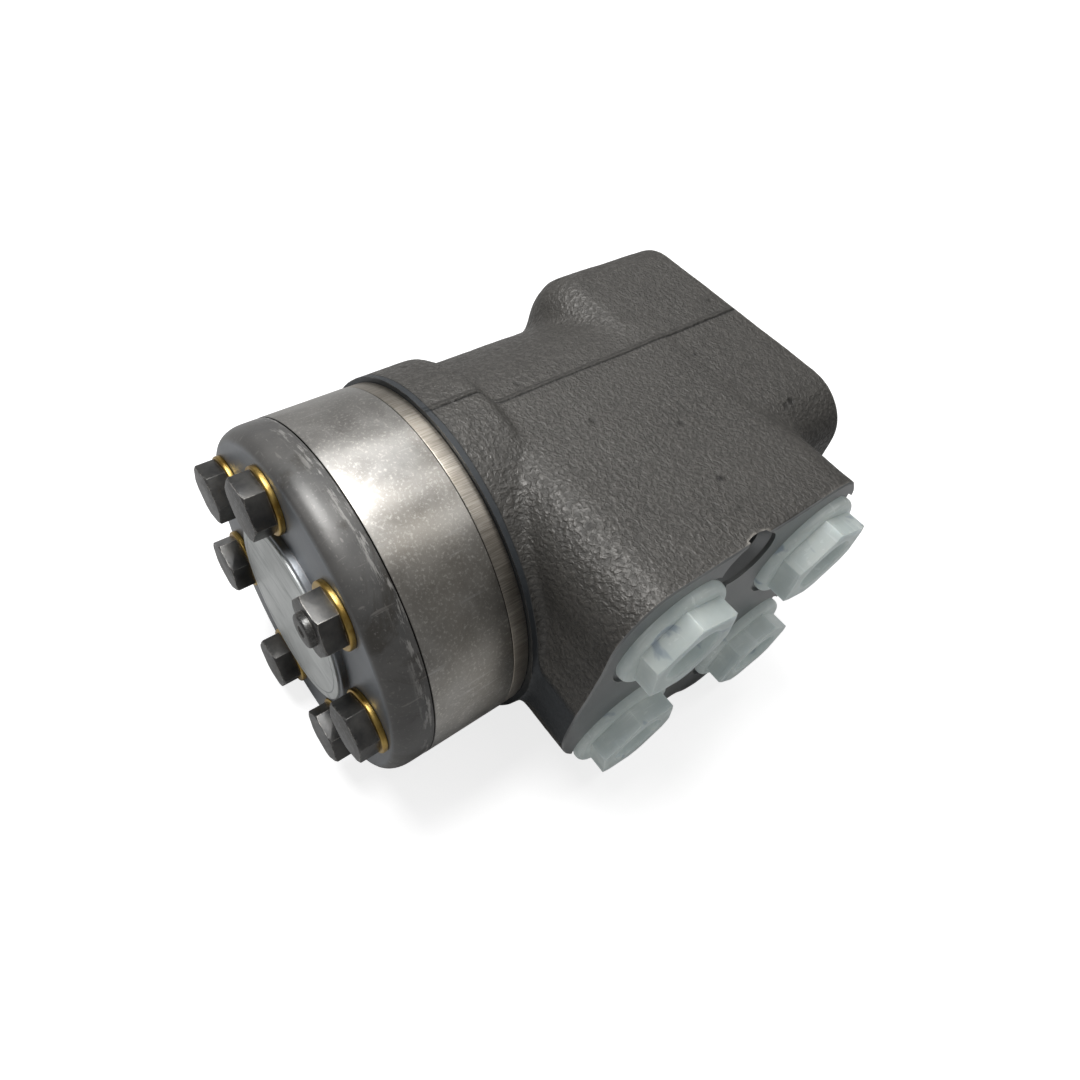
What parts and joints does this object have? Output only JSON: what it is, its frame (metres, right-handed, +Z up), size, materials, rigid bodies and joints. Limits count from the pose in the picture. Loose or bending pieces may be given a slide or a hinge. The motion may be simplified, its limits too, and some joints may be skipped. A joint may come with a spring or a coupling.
{
  "type": "orbital steering unit",
  "caption": "Hydrostatic orbital steering unit: a ported valve casting with a rotary spool and sleeve, a gerotor gear set under a bolted end cover, and plugged oil ports.",
  "frame": {"origin": "centre of the machined face that bolts to the steering column", "axes": "+Y out of that face along the main axis towards the column, +X out of the port face, +Z up, square to both"},
  "size_m": [0.1152, 0.144, 0.094],
  "materials": {
    "casting": "shot-blasted grey iron casting with machined faces",
    "ground_steel": "cross-ground steel",
    "turned_steel": "satin turned steel",
    "gear_steel": "ground steel",
    "phosphated_cover": "dark phosphated steel",
    "name_plate": "blank foil plate",
    "black_oxide": "black oxide steel",
    "washer_brass": "gold coloured sealing washers",
    "seal_rubber": "black nitrile",
    "bearing_steel": "hardened and polished",
    "cage_steel": "pressed steel",
    "valve_steel": "honed steel",
    "spring_steel": "blued spring steel",
    "plug_plastic": "milky translucent plastic"
  },
  "bodies": {
    "casing": {"housing": "casting", "distributor_plate": "ground_steel", "gear_ring": "turned_steel", "end_cover": "phosphated_cover", "name_plate": "name_plate", "cover_bolts": "black_oxide", "dog_bolt": "black_oxide", "sealing_washers": "washer_brass", "o_ring_housing": "seal_rubber", "o_ring_plate": "seal_rubber", "o_ring_cover": "seal_rubber", "dust_seal": "seal_rubber", "shaft_seal": "seal_rubber", "bearing_outer_race": "bearing_steel", "check_bush": "valve_steel", "port_plug_1": "plug_plastic", "port_plug_2": "plug_plastic", "port_plug_3": "plug_plastic", "port_plug_4": "plug_plastic"},
    "sleeve_set": {"sleeve": "valve_steel", "cross_pin": "valve_steel", "centring_springs": "spring_steel", "spring_ring": "valve_steel", "bearing_inner_race": "bearing_steel"},
    "spool": {"spool": "valve_steel"},
    "needle_row": {"needle_cage": "cage_steel", "bearing_needles": "bearing_steel"},
    "orbit_spacer": {"spacer_disc": "gear_steel"},
    "rotor": {"rotor": "gear_steel"},
    "drive_shaft": {"drive_shaft": "gear_steel"},
    "check_ball": {"check_ball": "bearing_steel"}
  },
  "joints": [
    {"name": "steering_turn", "type": "hinge", "parent": "casing", "child": "sleeve_set", "pos_m": [0, -0.05, 0], "axis": [0, 1, 0], "continuous": true},
    {"name": "spool_lead", "type": "hinge", "parent": "sleeve_set", "child": "spool", "pos_m": [0, -0.05, 0], "axis": [0, 1, 0], "range_deg": [-8, 8], "stiffness_Nm_per_rad": 8},
    {"name": "needle_roll", "type": "hinge", "parent": "casing", "child": "needle_row", "pos_m": [0, -0.014, 0], "axis": [0, 1, 0], "continuous": true},
    {"name": "rotor_orbit", "type": "hinge", "parent": "casing", "child": "orbit_spacer", "pos_m": [0, -0.11525, 0], "axis": [0, 1, 0], "continuous": true},
    {"name": "rotor_spin", "type": "hinge", "parent": "orbit_spacer", "child": "rotor", "pos_m": [0.0033, -0.11525, 0], "axis": [0, 1, 0], "continuous": true},
    {"name": "drive_shaft_spin", "type": "hinge", "parent": "orbit_spacer", "child": "drive_shaft", "pos_m": [0, -0.048, 0], "axis": [-0.049, 0.9988, 0], "continuous": true},
    {"name": "check_ball_lift", "type": "slide", "parent": "casing", "child": "check_ball", "axis": [-1, 0, 0], "range_m": [0, 0.0015]}
  ],
  "couplings": [
    {"joint": "needle_roll", "follows": "steering_turn", "ratio": 0.5},
    {"joint": "rotor_orbit", "follows": "steering_turn", "ratio": -6},
    {"joint": "rotor_spin", "follows": "steering_turn", "ratio": 7},
    {"joint": "drive_shaft_spin", "follows": "steering_turn", "ratio": 7}
  ]
}
